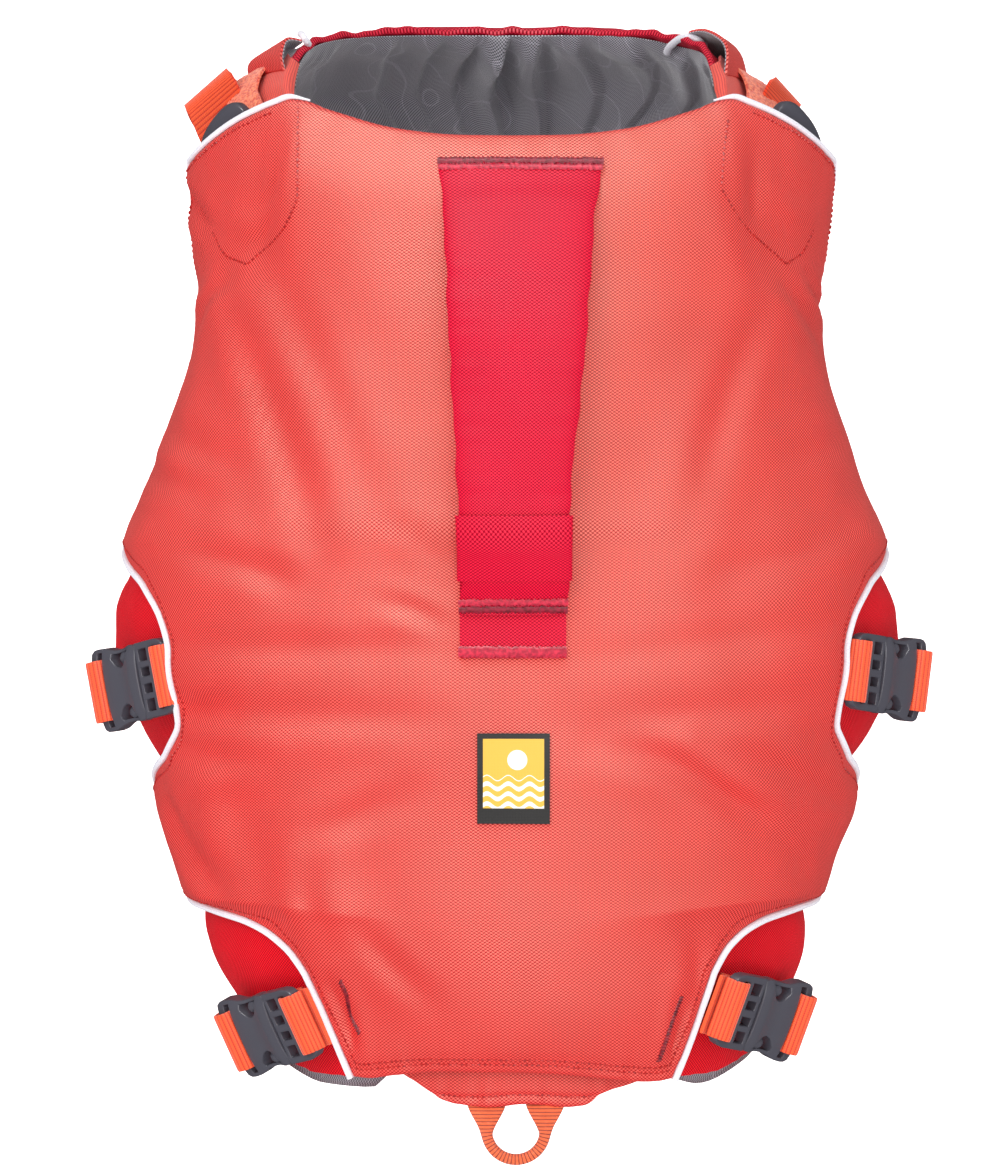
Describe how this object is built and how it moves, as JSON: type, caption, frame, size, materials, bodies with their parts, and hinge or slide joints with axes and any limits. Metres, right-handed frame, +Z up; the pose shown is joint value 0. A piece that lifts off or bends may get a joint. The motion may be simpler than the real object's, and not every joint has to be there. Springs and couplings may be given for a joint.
{
  "type": "dog life jacket",
  "caption": "Padded life jacket for a large dog, filled out as worn, with a saddle back, belly wrap, breast piece, side-release buckles, a grab handle and a leash loop.",
  "frame": {"origin": "inner face of the back lining over the spine, at mid length between neckline and hem, where the dog's back carries the jacket", "axes": "+Z up from the dog's back, +Y to the dog's head, +X to the dog's right-hand side"},
  "size_m": [0.3527, 0.4663, 0.2857],
  "materials": {
    "coral_cloth": "heavy woven nylon",
    "crimson_cloth": "heavy woven nylon",
    "grey_lining": "thin smooth lining",
    "orange_webbing": "ribbed webbing",
    "coral_webbing": "ribbed elastic webbing",
    "loop_pile": "brushed loop pile",
    "grey_acetal": "satin moulded",
    "pale_piping": "reflective braid",
    "patch": "woven patch"
  },
  "bodies": {
    "root": {"back_lining": "grey_lining", "back_panel": "coral_cloth", "belly_lining": "grey_lining", "belly_panel": "crimson_cloth", "buckle_body_front_left": "grey_acetal", "buckle_body_front_right": "grey_acetal", "buckle_body_rear_left": "grey_acetal", "buckle_body_rear_right": "grey_acetal", "buckle_insert_front_left": "grey_acetal", "buckle_insert_front_right": "grey_acetal", "buckle_insert_rear_left": "grey_acetal", "buckle_insert_rear_right": "grey_acetal", "chest_lining": "grey_lining", "chest_panel": "crimson_cloth", "flap_piping_left": "pale_piping", "flap_piping_right": "pale_piping", "front_scallop_piping_left": "pale_piping", "front_scallop_piping_right": "pale_piping", "handle": "crimson_cloth", "handle_base": "crimson_cloth", "handle_wrap": "crimson_cloth", "leash_loop": "orange_webbing", "neck_buckle_left": "grey_acetal", "neck_buckle_right": "grey_acetal", "neck_strap_left": "orange_webbing", "neck_strap_right": "orange_webbing", "patch": "patch", "pile_patch_left": "loop_pile", "pile_patch_right": "loop_pile", "rear_scallop_piping_left": "pale_piping", "rear_scallop_piping_right": "pale_piping", "shoulder_band_left": "coral_webbing", "shoulder_band_right": "coral_webbing", "shoulder_sleeve_left": "coral_cloth", "shoulder_sleeve_right": "coral_cloth", "sleeve_piping_left": "pale_piping", "sleeve_piping_right": "pale_piping", "strap_lower_front_left": "orange_webbing", "strap_lower_front_right": "orange_webbing", "strap_lower_rear_left": "orange_webbing", "strap_lower_rear_right": "orange_webbing", "strap_upper_front_left": "orange_webbing", "strap_upper_front_right": "orange_webbing", "strap_upper_rear_left": "orange_webbing", "strap_upper_rear_right": "orange_webbing", "tail_tab": "coral_cloth"}
  },
  "joints": []
}
